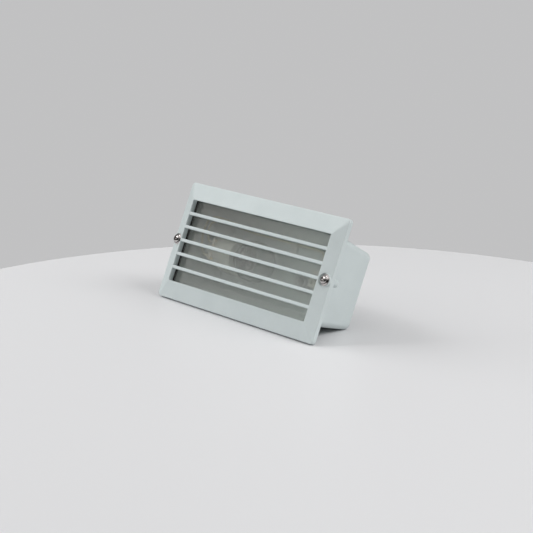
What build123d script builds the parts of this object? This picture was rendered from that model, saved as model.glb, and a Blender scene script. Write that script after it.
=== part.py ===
from build123d import *
import os
from math import asin, cos, pi, radians, sin, tan

# Recessed step light for a wall: a louvred front cover over a cast box that sinks into the wall.
# Millimetres. X is to the right, Y goes into the wall and Z is up. The origin is the centre of
# the cover on the wall plane, so a depth is a Y value and a height is a distance in front of it.

os.makedirs("parts", exist_ok=True)

# ---- Driving dimensions ----

# Front cover: a picture frame with sloping bands and slats across its opening
cover_width = 248.0
cover_height = 130.0
cover_side = 4.9
bevel_rise = 4.8
side_band = 15.2
top_band = 19.2
cover_corner = 4.0
cover_edge = 0.8
cover_wall = 3.0
bevel_skin = 3.1
rim_land = 0.6
opening_corner = 1.2
slat_count = 5
slat_thickness = 3.6
slat_depth = 5.2
slat_round = 0.9

# Glass and its U-section gasket, held in a skirt behind the opening
glass_recess = 6.7
glass_thickness = 3.0
glass_overlap = 2.0
gasket_leg = 1.0
gasket_edge = 1.2
glass_clearance = 0.1
skirt_clearance = 0.2
skirt_wall = 2.0

# Cover screws, their dished washers and O-rings
screw_inset = 7.0
seat_radius = 6.9
seat_height = 7.2
cover_screw_radius = 2.5
cover_screw_reach = 7.5
cover_head_radius = 4.2
cover_head_height = 2.6
cup_radius = 6.1
cup_edge = 0.5
cup_height = 1.5
cup_shell = 0.8
clearance_hole = 0.3
ring_wire = 0.7
ring_room = 0.1
cover_boss_radius = 5.0
thread_clearance = 0.05

# Back box
box_depth = 61.0
box_wall = 3.0
box_lip = 2.6
box_side_draft = 5.2
box_top_draft = 7.3
box_corner = 7.0
box_edge = 6.0
lug_radius = 4.2
lug_depth = 9.0
lug_entry = 1.0
fixing_inset_x = 32.6
fixing_inset_z = 10.0
fixing_hole_radius = 2.75
pad_height = 4.0
low_pad_height = 2.6
blind_floor = 1.5

# Lampholder bracket
bracket_plate = 1.5
bracket_half_height = 15.0
bracket_foot = 14.0
bracket_bend = 1.5
bracket_edge = 9.0
foot_screw_step = 9.0
foot_screw_inset = 6.0
m4_radius = 2.0
m4_head_radius = 3.6
m4_head_height = 2.4
m4_reach = 4.7
m4_washer_radius = 4.2
m4_washer = 0.8
m4_pad_radius = 5.2

# Porcelain lampholder, its shell, centre contact and terminals
holder_gap = 15.6
base_radius = 17.0
base_length = 19.0
skirt_radius = 20.5
skirt_length = 23.7
holder_edge = 1.5
holder_floor = 3.0
chamber_radius = 7.0
chamber_length = 7.8
cone_length = 4.0
shell_wall = 0.58
shell_length = 25.0
shell_seat = 0.1
tongue_radius = 4.0
tongue_plate = 0.7
rivet_radius = 1.5
rivet_length = 5.3
holder_screw_drop = 7.0
holder_screw_step = 9.5
holder_screw_reach = 7.0
pole_step = 7.5
pole_rise = 11.0
pole_block = 6.0
pole_length = 7.0
pole_inset = 3.0
pole_room = 0.25

# Lamp: a small ball lamp in a 27 mm screw cap
cap_radius = 13.1
cap_clearance = 0.07
cap_length = 26.5
cap_wall = 0.5
cap_step = 0.5
ball_radius = 22.5
lamp_length = 75.0
lamp_glass_wall = 0.9
neck_gap = 0.3
neck_overlap = 7.0
neck_tail = 1.5
contact_radius = 4.5
contact_thickness = 2.0
contact_gap = 0.3
insulator_height = 3.7
stem_radius = 3.0
stem_length = 14.0
filament_wire = 0.35
filament_half = 8.0
filament_reach = 10.0
filament_lead = 3.0
filament_bend = 1.0

# Terminal block
block_inset = 39.6
block_pitch = 10.0
block_poles = 3
block_margin = 5.0
block_half_height = 9.0
block_depth = 14.0
block_edge = 0.8
tube_radius = 2.6
tube_bore = 1.6
tube_half = 7.0
tube_rise = 6.0
tube_room = 0.1
well_radius = 2.3
clamp_radius = 1.4
clamp_head = 2.0
clamp_head_height = 1.5
clamp_sink = 1.5
clamp_step = 4.2
m3_radius = 1.5
m3_head_radius = 2.5
m3_head_height = 1.6
m3_sink = 4.0
m3_reach = 3.3

# Earth connection
earth_inset = 12.6
earth_drop = 17.7
earth_pad_radius = 5.2
earth_screw_radius = 2.4
earth_head_radius = 3.9
earth_head_height = 2.6
earth_washer_radius = 4.0
earth_washer_plate = 0.6
tag_plate = 0.8
tag_radius = 4.5
tag_barrel_radius = 1.7
tag_barrel_length = 6.0

# Leads
lead_radius = 1.1
lead_fit = 0.05
lead_spacing = 3.0
lead_top_gap = 4.0
lead_wall_gap = 0.2
ferrule_radius = 1.2
ferrule_length = 9.0
ferrule_bore = 0.15
clip_half_width = 4.0
clip_plate = 1.5
clip_side = 1.2
clip_pad_radius = 4.0
clip_screw_drop = 9.5

# Cable gland in the back wall
gland_step = 35.0
gland_drop = 6.0
gland_thread_radius = 7.9
gland_hole_clearance = 0.2
gland_inner_length = 7.0
gland_hex_radius = 11.0
gland_flange = 5.0
gland_washer_plate = 1.5
locknut_radius = 12.5
locknut_thickness = 5.0
gland_neck_radius = 8.2
gland_neck_length = 9.5
gland_bore = 5.0
insert_radius = 6.1
insert_bore = 4.0
insert_length = 10.0
thrust_plate = 1.0
nut_length = 13.0
nut_hex_length = 8.0
nut_gap = 1.5
nut_mouth_radius = 4.6
running_clearance = 0.08

# ---- Places worked out from them ----

cover_front = cover_side + bevel_rise
opening_width = cover_width - 2 * side_band
opening_height = cover_height - 2 * top_band
glass_width = opening_width + 2 * glass_overlap
glass_height = opening_height + 2 * glass_overlap
glass_front = cover_front - glass_recess
glass_back = glass_front - glass_thickness
ledge = glass_front + gasket_leg
gasket_border = 2 * (glass_clearance + gasket_edge)
gasket_width = glass_width + gasket_border
gasket_height = glass_height + gasket_border
gasket_corner = opening_corner + glass_overlap
screw_x = cover_width / 2 - screw_inset
cover_slide_hole = cover_screw_radius + clearance_hole

box_mouth = gasket_leg - glass_back
mouth_width = opening_width + 2 * box_lip
mouth_height = opening_height + 2 * box_lip
back_width = mouth_width - 2 * (box_depth - box_mouth) * tan(radians(box_side_draft))
back_height = mouth_height - 2 * (box_depth - box_mouth) * tan(radians(box_top_draft))
inner_back = box_depth - box_wall
inner_half_width = back_width / 2 - box_wall
inner_half_height = back_height / 2 - box_wall
pad_face = inner_back - pad_height
low_pad_face = inner_back - low_pad_height
blind_end = box_depth - blind_floor
fixing_x = inner_half_width - fixing_inset_x
fixing_z = -(inner_half_height - fixing_inset_z)

lamp_y = (inner_back - glass_back) / 2
holder_x = -(inner_half_width - holder_gap)
bracket_x = holder_x - bracket_plate
foot_x = holder_x - bracket_foot + foot_screw_inset
foot_face = pad_face - bracket_plate
skirt_x = holder_x + base_length
holder_mouth = skirt_x + skirt_length
chamber_x = holder_x + holder_floor
cone_x = chamber_x + chamber_length
shell_x = cone_x + cone_length
shell_inner = cap_radius + cap_clearance
shell_outer = shell_inner + shell_wall
pole_y = lamp_y - pole_rise
pole_x = holder_x + pole_inset
tongue_x = chamber_x + rivet_length

contact_x = tongue_x + tongue_plate + contact_gap
insulator_x = contact_x + contact_thickness
cap_x = insulator_x + insulator_height
cap_end = cap_x + cap_length
ball_x = contact_x + lamp_length - ball_radius
neck_radius = cap_radius - cap_wall - neck_gap
neck_x = cap_end - neck_overlap
stem_end = neck_x + stem_length

block_x = inner_half_width - block_inset
block_back = low_pad_face
block_front = block_back - block_depth
tube_y = block_back - tube_rise
block_length = (block_poles - 1) * block_pitch + 2 * block_margin
pole_xs = [block_x + (i - (block_poles - 1) / 2) * block_pitch for i in range(block_poles)]
gap_xs = [x + block_pitch / 2 for x in pole_xs[:-1]]

earth_x = inner_half_width - earth_inset
earth_height = inner_half_height - earth_drop
tag_face = pad_face - tag_plate
tag_y = pad_face - tag_barrel_radius
tag_top = earth_height + tag_radius + tag_barrel_length

lead_y = inner_back - lead_wall_gap - lead_radius
live_z = inner_half_height - lead_top_gap
neutral_z = live_z - lead_spacing
clip_z = live_z - clip_screw_drop
clip_face = low_pad_face - clip_plate
lead_in_x = holder_x - lead_wall_gap
block_lead_z = block_half_height + 1.5

gland_x = block_x - gland_step
gland_z = -gland_drop
gland_washer_y = box_depth + gland_washer_plate
gland_flange_y = gland_washer_y + gland_flange
gland_neck_y = gland_flange_y + gland_neck_length
thrust_y = gland_flange_y + insert_length
nut_y = gland_flange_y + nut_gap
nut_inner = thrust_y + thrust_plate
nut_end = nut_y + nut_length

lamp_axis = Axis((0, lamp_y, 0), (1, 0, 0))


def across(depth):
    """Plane parallel to the wall at a depth, facing the front, with its Y up."""
    return Plane.XZ.offset(-depth)


def facing_front(x, depth, z):
    """Place whose Z points out of the wall."""
    return Plane(origin=(x, depth, z), x_dir=(1, 0, 0), z_dir=(0, -1, 0))


def facing_left(x, depth, z):
    """Place whose Z points to the left."""
    return Plane(origin=(x, depth, z), x_dir=(0, 1, 0), z_dir=(-1, 0, 0))


def domed_screw(head_radius, head_height, shank_radius, reach, recess):
    """Screw with its seat on the XY plane: a domed cross-recess head above, a shank below."""
    edge = head_height * 0.4
    rise = head_height - edge
    dome = (head_radius**2 + rise**2) / (2 * rise)
    half = asin(head_radius / dome) / 2
    crown = (dome * sin(half), head_height - dome + dome * cos(half))
    with BuildPart() as screw:
        with BuildSketch(Plane.XZ):
            with BuildLine():
                Polyline((0, -reach), (shank_radius, -reach), (shank_radius, 0), (head_radius, 0))
                Line((head_radius, 0), (head_radius, edge))
                ThreePointArc((head_radius, edge), crown, (0, head_height))
                Line((0, head_height), (0, -reach))
            make_face()
        revolve(axis=Axis.Z)
        with BuildSketch(Plane.XY.offset(head_height)):
            Rectangle(recess, recess * 0.26)
            Rectangle(recess * 0.26, recess)
        extrude(amount=-head_height * 0.6, mode=Mode.SUBTRACT)
    return screw.part


def slotted_screw(head_radius, head_height, shank_radius, reach):
    """Cheese-head screw with its seat on the XY plane and a straight slot."""
    with BuildPart() as screw:
        with BuildSketch():
            Circle(head_radius)
        extrude(amount=head_height)
        with BuildSketch():
            Circle(shank_radius)
        extrude(amount=-reach)
        with BuildSketch(Plane.XY.offset(head_height)):
            Rectangle(3 * head_radius, head_radius * 0.3)
        extrude(amount=-head_height * 0.5, mode=Mode.SUBTRACT)
    return screw.part


def bend_radii(points):
    """Radius of each corner: 0.45 of its shorter run over the tangent of half the turn."""
    radii = []
    for before, here, after in zip(points, points[1:], points[2:]):
        run_in = Vector(*here) - Vector(*before)
        run_out = Vector(*after) - Vector(*here)
        half_turn = radians(run_in.get_angle(run_out)) / 2
        radii.append(0.45 * min(run_in.length, run_out.length) / tan(half_turn))
    return radii


def lead_tube(name, points):
    """Round lead along straight runs joined by tangent arcs."""
    radii = bend_radii(points)
    with BuildPart() as lead:
        with BuildLine() as route:
            FilletPolyline(*points, radius=radii)
        start = Plane(origin=points[0], z_dir=Vector(*points[1]) - Vector(*points[0]))
        with BuildSketch(start):
            Circle(lead_radius)
        sweep(path=route.wires()[0])
    length = route.wires()[0].length
    filled = lead.part.volume / (pi * lead_radius**2 * length)
    print(name, "length", round(length, 1), "volume over section times length", round(filled, 4))
    print(name, "radii", [round(r, 1) for r in radii])
    return lead.part


# ---- Front cover: one casting, frame and slats ----

skirt_width = gasket_width + 2 * skirt_clearance
skirt_height = gasket_height + 2 * skirt_clearance
skirt_corner = gasket_corner + skirt_clearance
pocket_width = cover_width - 2 * cover_wall
pocket_height = cover_height - 2 * cover_wall
pocket_corner = max(cover_corner - cover_wall, 0.5)
pocket_side = cover_side + bevel_rise * cover_wall / top_band - bevel_skin
skirt_outset = (cover_width - skirt_width) / 2 - skirt_wall
pocket_depth = cover_side + bevel_rise * skirt_outset / side_band - bevel_skin
slat_pitch = opening_height / (slat_count + 1)
screw_places = [(screw_x, 0), (-screw_x, 0)]

with BuildPart() as front_cover:
    with BuildSketch(Plane.XZ):
        RectangleRounded(cover_width, cover_height, cover_corner)
    extrude(amount=cover_side)
    with BuildSketch(Plane.XZ.offset(cover_side)):
        RectangleRounded(cover_width, cover_height, cover_corner)
    with BuildSketch(Plane.XZ.offset(cover_front)):
        RectangleRounded(opening_width + 2 * rim_land, opening_height + 2 * rim_land, opening_corner)
    loft()
    fillet(front_cover.edges().filter_by_position(Axis.Y, -cover_side, -cover_side), cover_edge)
    # hollow behind the bands, following their slope
    with BuildSketch(Plane.XZ):
        RectangleRounded(pocket_width, pocket_height, pocket_corner)
    extrude(amount=pocket_side, mode=Mode.SUBTRACT)
    with BuildSketch(Plane.XZ.offset(pocket_side)):
        RectangleRounded(pocket_width, pocket_height, pocket_corner)
    with BuildSketch(Plane.XZ.offset(pocket_depth)):
        RectangleRounded(skirt_width + 2 * skirt_wall, skirt_height + 2 * skirt_wall, skirt_corner)
    loft(mode=Mode.SUBTRACT)
    # skirt round the gasket, and a boss behind each screw seat
    with BuildSketch(Plane.XZ):
        RectangleRounded(skirt_width + 2 * skirt_wall, skirt_height + 2 * skirt_wall, skirt_corner)
        with Locations(*screw_places):
            Circle(cover_boss_radius)
    extrude(amount=pocket_depth + bevel_skin / 4)
    # room for the top of each lug of the box, so that the rim alone meets the wall
    with BuildSketch(Plane.XZ):
        with Locations(*screw_places):
            Circle(cover_boss_radius + clearance_hole)
    extrude(amount=lug_entry, mode=Mode.SUBTRACT)
    # round screw seats: proud of the band on its outer side, sunk into it on its inner side
    with BuildSketch(Plane.XZ.offset(pocket_depth)):
        with Locations(*screw_places):
            Circle(seat_radius)
    extrude(amount=seat_height - pocket_depth)
    with BuildSketch(Plane.XZ.offset(seat_height)):
        with Locations(*screw_places):
            Circle(seat_radius)
    extrude(amount=cover_front, mode=Mode.SUBTRACT)
    with BuildSketch(Plane.XZ.offset(seat_height)):
        with Locations(*screw_places):
            Circle(cover_slide_hole + 2 * ring_wire + ring_room)
    extrude(amount=-2 * ring_wire, mode=Mode.SUBTRACT)
    with BuildSketch(Plane.XZ):
        with Locations(*screw_places):
            Circle(cover_slide_hole)
    extrude(amount=cover_front, mode=Mode.SUBTRACT)
    # rebate for the gasket, and the opening
    with BuildSketch(Plane.XZ):
        RectangleRounded(skirt_width, skirt_height, skirt_corner)
    extrude(amount=ledge, mode=Mode.SUBTRACT)
    with BuildSketch(Plane.XZ):
        RectangleRounded(opening_width, opening_height, opening_corner)
    extrude(amount=2 * cover_front, mode=Mode.SUBTRACT)
    # slats, flush with the rim, with rounded front edges
    with BuildSketch(Plane.YZ) as slat_section:
        with Locations((slat_depth / 2 - cover_front, 0)):
            with GridLocations(0, slat_pitch, 1, slat_count):
                Rectangle(slat_depth, slat_thickness)
        fillet(slat_section.vertices().group_by(Axis.X)[0], slat_round)
    extrude(amount=opening_width / 2 + rim_land / 2, both=True)
front_cover.part.label = "front_cover"
export_step(front_cover.part, "parts/front_cover.step")

# ---- Glass pane and its gasket ----

with BuildPart() as glass_pane:
    with BuildSketch(Plane.XZ.offset(glass_back)):
        RectangleRounded(glass_width, glass_height, gasket_corner)
    extrude(amount=glass_thickness)
glass_pane.part.label = "glass_pane"
export_step(glass_pane.part, "parts/glass_pane.step")

with BuildPart() as glass_gasket:
    with BuildSketch(across(box_mouth)):
        RectangleRounded(gasket_width, gasket_height, gasket_corner)
        RectangleRounded(opening_width, opening_height, opening_corner, mode=Mode.SUBTRACT)
    extrude(amount=box_mouth + ledge)
    with BuildSketch(Plane.XZ.offset(glass_back)):
        RectangleRounded(glass_width + 2 * glass_clearance, glass_height + 2 * glass_clearance, gasket_corner)
    extrude(amount=glass_thickness, mode=Mode.SUBTRACT)
glass_gasket.part.label = "glass_gasket"
export_step(glass_gasket.part, "parts/glass_gasket.step")

# ---- Cover screws, their dished washers and the O-rings in the seats ----

screw_seat = -seat_height - cup_height
cover_screw_shape = domed_screw(
    cover_head_radius,
    cover_head_height,
    cover_screw_radius,
    cover_screw_reach - screw_seat,
    cover_head_radius * 1.15,
)

with BuildPart() as cover_screw_left:
    with Locations(facing_front(-screw_x, screw_seat, 0)):
        add(cover_screw_shape)
cover_screw_left.part.label = "cover_screw_left"
export_step(cover_screw_left.part, "parts/cover_screw_left.step")

with BuildPart() as cover_screw_right:
    with Locations(facing_front(screw_x, screw_seat, 0)):
        add(cover_screw_shape)
cover_screw_right.part.label = "cover_screw_right"
export_step(cover_screw_right.part, "parts/cover_screw_right.step")

with BuildPart() as cup_shape:
    with BuildSketch(Plane.XZ):
        with BuildLine():
            cup_slope = cup_height - cup_edge
            Polyline(
                (cup_radius, 0),
                (cup_radius, cup_edge),
                (cover_head_radius, cup_height),
                (cover_slide_hole, cup_height),
                (cover_slide_hole, cup_height - cup_shell),
                (cover_head_radius - cup_slope / 2, cup_height - cup_shell),
                (cup_radius - cup_shell, 0),
                (cup_radius, 0),
            )
        make_face()
    revolve(axis=Axis.Z)

with BuildPart() as screw_washer_left:
    with Locations(facing_front(-screw_x, -seat_height, 0)):
        add(cup_shape.part)
screw_washer_left.part.label = "screw_washer_left"
export_step(screw_washer_left.part, "parts/screw_washer_left.step")

with BuildPart() as screw_washer_right:
    with Locations(facing_front(screw_x, -seat_height, 0)):
        add(cup_shape.part)
screw_washer_right.part.label = "screw_washer_right"
export_step(screw_washer_right.part, "parts/screw_washer_right.step")

with BuildPart() as screw_seals:
    with Locations(*[facing_front(x, ring_wire - seat_height, z) for x, z in screw_places]):
        Torus(cover_slide_hole + ring_wire, ring_wire)
screw_seals.part.label = "screw_seals"
export_step(screw_seals.part, "parts/screw_seals.step")

# ---- Back box: a drafted casting with a lug for each cover screw ----

foot_places = [(foot_x, foot_screw_step), (foot_x, -foot_screw_step)]
web_inner = mouth_width / 2 - box_wall * 0.8
web_width = screw_x - web_inner
web_places = [(web_inner + web_width / 2, 0), (-web_inner - web_width / 2, 0)]

with BuildPart() as back_box:
    with BuildSketch(across(box_depth)):
        RectangleRounded(back_width, back_height, box_corner)
    with BuildSketch(across(box_mouth)):
        RectangleRounded(mouth_width, mouth_height, box_corner)
    loft()
    fillet(back_box.edges().filter_by_position(Axis.Y, box_depth, box_depth), box_edge)
    # lugs for the cover screws, webbed to the side walls
    with BuildSketch(across(lug_depth)):
        with Locations(*screw_places):
            Circle(lug_radius)
    extrude(amount=lug_depth + lug_entry)
    with BuildSketch(across(lug_depth)):
        with Locations(*web_places):
            Rectangle(web_width, 2 * lug_radius)
    extrude(amount=lug_depth - box_mouth)
    # the hollow, with the same draft
    with BuildSketch(across(inner_back)):
        RectangleRounded(2 * inner_half_width, 2 * inner_half_height, box_corner - box_wall)
    with BuildSketch(across(box_mouth)):
        RectangleRounded(mouth_width - 2 * box_wall, mouth_height - 2 * box_wall, box_corner - box_wall)
    loft(mode=Mode.SUBTRACT)
    # cast pads on the back wall
    with BuildSketch(across(inner_back)):
        with Locations(*foot_places):
            Circle(m4_pad_radius)
        with Locations((earth_x, earth_height)):
            Circle(earth_pad_radius)
    extrude(amount=pad_height)
    with BuildSketch(across(inner_back)):
        with Locations((0, clip_z)):
            Circle(clip_pad_radius)
        with Locations((block_x, 0)):
            RectangleRounded(block_length - 2, 2 * block_half_height - 4, 2)
    extrude(amount=low_pad_height)
    # tapped blind holes
    with BuildSketch(across(blind_end)):
        with Locations(*foot_places):
            Circle(m4_radius + thread_clearance)
        with Locations((earth_x, earth_height)):
            Circle(earth_screw_radius + thread_clearance)
        with Locations((0, clip_z), *[(x, 0) for x in gap_xs]):
            Circle(m3_radius + thread_clearance)
    extrude(amount=blind_end - pad_face, mode=Mode.SUBTRACT)
    # through holes: cover screws, wall fixings and the cable gland
    with BuildSketch(across(lug_depth)):
        with Locations(*screw_places):
            Circle(cover_screw_radius + thread_clearance)
    extrude(amount=lug_depth + lug_entry, mode=Mode.SUBTRACT)
    with BuildSketch(across(box_depth)):
        with Locations((fixing_x, fixing_z), (-fixing_x, fixing_z)):
            Circle(fixing_hole_radius)
        with Locations((gland_x, gland_z)):
            Circle(gland_thread_radius + gland_hole_clearance)
    extrude(amount=box_wall, mode=Mode.SUBTRACT)
back_box.part.label = "back_box"
export_step(back_box.part, "parts/back_box.step")

# ---- Lampholder bracket, bent from steel plate ----

holder_screw_y = lamp_y + holder_screw_drop
bracket_front = lamp_y - bracket_edge
holder_screw_places = [(holder_screw_y, holder_screw_step), (holder_screw_y, -holder_screw_step)]

with BuildPart() as holder_bracket:
    with BuildSketch() as bracket_section:
        with BuildLine():
            Polyline(
                (holder_x - bracket_foot, foot_face),
                (bracket_x, foot_face),
                (bracket_x, bracket_front),
                (holder_x, bracket_front),
                (holder_x, pad_face),
                (holder_x - bracket_foot, pad_face),
                (holder_x - bracket_foot, foot_face),
            )
        make_face()
        bends = bracket_section.vertices()
        fillet(bends.sort_by_distance((bracket_x, foot_face, 0))[0], bracket_bend)
        bends = bracket_section.vertices()
        fillet(bends.sort_by_distance((holder_x, pad_face, 0))[0], bracket_bend + bracket_plate)
    extrude(amount=bracket_half_height, both=True)
    with BuildSketch(across(pad_face)):
        with Locations(*foot_places):
            Circle(m4_radius + clearance_hole / 2)
    extrude(amount=bracket_plate, mode=Mode.SUBTRACT)
    with BuildSketch(Plane.YZ.offset(bracket_x)):
        with Locations(*holder_screw_places):
            Circle(m4_radius + clearance_hole / 2)
    extrude(amount=bracket_plate, mode=Mode.SUBTRACT)
holder_bracket.part.label = "holder_bracket"
export_step(holder_bracket.part, "parts/holder_bracket.step")

with BuildPart() as bracket_washers:
    with BuildSketch(across(foot_face)):
        with Locations(*foot_places):
            Circle(m4_washer_radius)
            Circle(m4_radius + clearance_hole / 2, mode=Mode.SUBTRACT)
    extrude(amount=m4_washer)
bracket_washers.part.label = "bracket_washers"
export_step(bracket_washers.part, "parts/bracket_washers.step")

m4_recess = m4_head_radius * 1.1
foot_screw_seat = foot_face - m4_washer
foot_screw_reach = bracket_plate + m4_washer + m4_reach
holder_fixing_reach = bracket_plate + holder_screw_reach

with BuildPart() as bracket_screws:
    with Locations(*[facing_front(x, foot_screw_seat, z) for x, z in foot_places]):
        add(domed_screw(m4_head_radius, m4_head_height, m4_radius, foot_screw_reach, m4_recess))
bracket_screws.part.label = "bracket_screws"
export_step(bracket_screws.part, "parts/bracket_screws.step")

with BuildPart() as holder_fixing_screws:
    with Locations(*[facing_left(bracket_x, y, z) for y, z in holder_screw_places]):
        add(domed_screw(m4_head_radius, m4_head_height, m4_radius, holder_fixing_reach, m4_recess))
holder_fixing_screws.part.label = "holder_fixing_screws"
export_step(holder_fixing_screws.part, "parts/holder_fixing_screws.step")

# ---- Porcelain lampholder ----

pole_places = [(pole_y, pole_step), (pole_y, -pole_step)]
pocket_floor = pole_y + pole_block / 2 + pole_room
pocket_top = lamp_y - skirt_radius
pocket_room = pole_block + 2 * pole_room
pocket_middle = (pocket_floor + pocket_top) / 2
pocket_places = [(pocket_middle, pole_step), (pocket_middle, -pole_step)]

with BuildPart() as holder_body:
    with BuildSketch(Plane.YZ.offset(holder_x)):
        with Locations((lamp_y, 0)):
            Circle(base_radius)
    extrude(amount=base_length)
    with BuildSketch(Plane.YZ.offset(skirt_x)):
        with Locations((lamp_y, 0)):
            Circle(skirt_radius)
    extrude(amount=skirt_length)
    rounded = holder_body.edges().filter_by(GeomType.CIRCLE).group_by(Axis.X)
    fillet(rounded[0] + rounded[-1], holder_edge)
    with BuildSketch(Plane.YZ.offset(shell_x)):
        with Locations((lamp_y, 0)):
            Circle(shell_outer + shell_seat)
    extrude(amount=holder_mouth - shell_x, mode=Mode.SUBTRACT)
    with BuildSketch(Plane.YZ.offset(chamber_x)):
        with Locations((lamp_y, 0)):
            Circle(chamber_radius)
    extrude(amount=chamber_length, mode=Mode.SUBTRACT)
    with BuildSketch(Plane.YZ.offset(cone_x)):
        with Locations((lamp_y, 0)):
            Circle(chamber_radius)
    with BuildSketch(Plane.YZ.offset(shell_x)):
        with Locations((lamp_y, 0)):
            Circle(shell_outer + shell_seat)
    loft(mode=Mode.SUBTRACT)
    # terminal pockets, open to the front and to the left end
    with BuildSketch(Plane.YZ.offset(holder_x)):
        with Locations(*pocket_places):
            Rectangle(pocket_floor - pocket_top, pocket_room)
    extrude(amount=pole_inset + pole_length + pole_room, mode=Mode.SUBTRACT)
    with BuildSketch(Plane.YZ.offset(holder_x)):
        with Locations(*holder_screw_places):
            Circle(m4_radius + thread_clearance)
    extrude(amount=holder_screw_reach + thread_clearance, mode=Mode.SUBTRACT)
holder_body.part.label = "holder_body"
export_step(holder_body.part, "parts/holder_body.step")

with BuildPart() as holder_shell:
    with BuildSketch(Plane.YZ.offset(shell_x)):
        with Locations((lamp_y, 0)):
            Circle(shell_outer)
            Circle(shell_inner, mode=Mode.SUBTRACT)
    extrude(amount=shell_length)
holder_shell.part.label = "holder_shell"
export_step(holder_shell.part, "parts/holder_shell.step")

with BuildPart() as holder_contact:
    with BuildSketch(Plane.YZ.offset(chamber_x)):
        with Locations((lamp_y, 0)):
            Circle(rivet_radius)
    extrude(amount=rivet_length)
    with BuildSketch(Plane.YZ.offset(tongue_x)):
        with Locations((lamp_y, 0)):
            Circle(tongue_radius)
    extrude(amount=tongue_plate)
holder_contact.part.label = "holder_contact"
export_step(holder_contact.part, "parts/holder_contact.step")

pole_front = pole_y - pole_block / 2
pole_screw_reach = pole_block / 2 - ferrule_radius - lead_fit
pole_screw_places = [facing_front(pole_x + pole_length / 2, pole_front, z) for z in (pole_step, -pole_step)]

with BuildPart() as holder_terminals:
    with BuildSketch(Plane.YZ.offset(pole_x)):
        with Locations(*pole_places):
            Rectangle(pole_block, pole_block)
            Circle(ferrule_radius + ferrule_bore, mode=Mode.SUBTRACT)
    extrude(amount=pole_length)
    with Locations(*pole_screw_places):
        Hole(m3_radius + thread_clearance, depth=pole_block / 2)
holder_terminals.part.label = "holder_terminals"
export_step(holder_terminals.part, "parts/holder_terminals.step")

with BuildPart() as holder_terminal_screws:
    with Locations(*pole_screw_places):
        add(slotted_screw(m3_head_radius, m3_head_height, m3_radius, pole_screw_reach))
holder_terminal_screws.part.label = "holder_terminal_screws"
export_step(holder_terminal_screws.part, "parts/holder_terminal_screws.step")

# ---- Lamp ----


def bulb_solid(inset):
    """Solid of the lamp glass drawn in by an inset: a straight neck that swells into the ball."""
    ball = ball_radius - inset
    neck = neck_radius - inset
    turn = radians(125)
    shoulder = (ball_x + ball * cos(turn), ball * sin(turn))
    crown = (ball_x + ball * cos(turn / 2), ball * sin(turn / 2))
    with BuildPart() as bulb:
        with BuildSketch(across(lamp_y)):
            with BuildLine():
                Polyline((ball_x + ball, 0), (neck_x, 0), (neck_x, neck), (cap_end + neck_tail, neck))
                Spline(
                    (cap_end + neck_tail, neck),
                    shoulder,
                    tangents=[(1, 0), (sin(turn), -cos(turn))],
                )
                ThreePointArc(shoulder, crown, (ball_x + ball, 0))
            make_face()
        revolve(axis=lamp_axis)
    return bulb.part


with BuildPart() as lamp_glass:
    add(bulb_solid(0))
    add(bulb_solid(lamp_glass_wall), mode=Mode.SUBTRACT)
lamp_glass.part.label = "lamp_glass"
export_step(lamp_glass.part, "parts/lamp_glass.step")

with BuildPart() as lamp_cap:
    with BuildSketch(Plane.YZ.offset(cap_x)):
        with Locations((lamp_y, 0)):
            Circle(cap_radius)
            Circle(cap_radius - cap_wall, mode=Mode.SUBTRACT)
    extrude(amount=cap_length)
lamp_cap.part.label = "lamp_cap"
export_step(lamp_cap.part, "parts/lamp_cap.step")

with BuildPart() as lamp_insulator:
    with BuildSketch(Plane.YZ.offset(insulator_x)):
        with Locations((lamp_y, 0)):
            Circle(contact_radius + cap_step)
    with BuildSketch(Plane.YZ.offset(cap_x)):
        with Locations((lamp_y, 0)):
            Circle(cap_radius - cap_wall)
    loft()
lamp_insulator.part.label = "lamp_insulator"
export_step(lamp_insulator.part, "parts/lamp_insulator.step")

with BuildPart() as lamp_contact:
    with BuildSketch(Plane.YZ.offset(contact_x)):
        with Locations((lamp_y, 0)):
            Circle(contact_radius)
    extrude(amount=contact_thickness)
    fillet(lamp_contact.edges().group_by(Axis.X)[0], contact_thickness / 2)
lamp_contact.part.label = "lamp_contact"
export_step(lamp_contact.part, "parts/lamp_contact.step")

with BuildPart() as lamp_stem:
    with BuildSketch(Plane.YZ.offset(neck_x)):
        with Locations((lamp_y, 0)):
            Circle(neck_radius - lamp_glass_wall)
    extrude(amount=lamp_glass_wall)
    with BuildSketch(Plane.YZ.offset(neck_x)):
        with Locations((lamp_y, 0)):
            Circle(stem_radius)
    extrude(amount=stem_length)
lamp_stem.part.label = "lamp_stem"
export_step(lamp_stem.part, "parts/lamp_stem.step")

filament_x = stem_end + filament_reach
with BuildPart() as lamp_filament:
    with BuildLine() as filament_route:
        FilletPolyline(
            (stem_end, lamp_y, -stem_radius / 2),
            (stem_end + filament_lead, lamp_y, -stem_radius / 2),
            (filament_x - 2, lamp_y, -filament_half),
            (filament_x, lamp_y, -filament_half / 2),
            (filament_x, lamp_y, filament_half / 2),
            (filament_x - 2, lamp_y, filament_half),
            (stem_end + filament_lead, lamp_y, stem_radius / 2),
            (stem_end, lamp_y, stem_radius / 2),
            radius=filament_bend,
        )
    filament_start = filament_route.wires()[0] @ 0
    filament_heading = filament_route.wires()[0] % 0
    with BuildSketch(Plane(origin=filament_start, z_dir=filament_heading)):
        Circle(filament_wire)
    sweep(path=filament_route.wires()[0])
lamp_filament.part.label = "lamp_filament"
export_step(lamp_filament.part, "parts/lamp_filament.step")

# ---- Terminal block ----

clamp_places = [(x, z) for x in pole_xs for z in (clamp_step, -clamp_step)]

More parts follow.
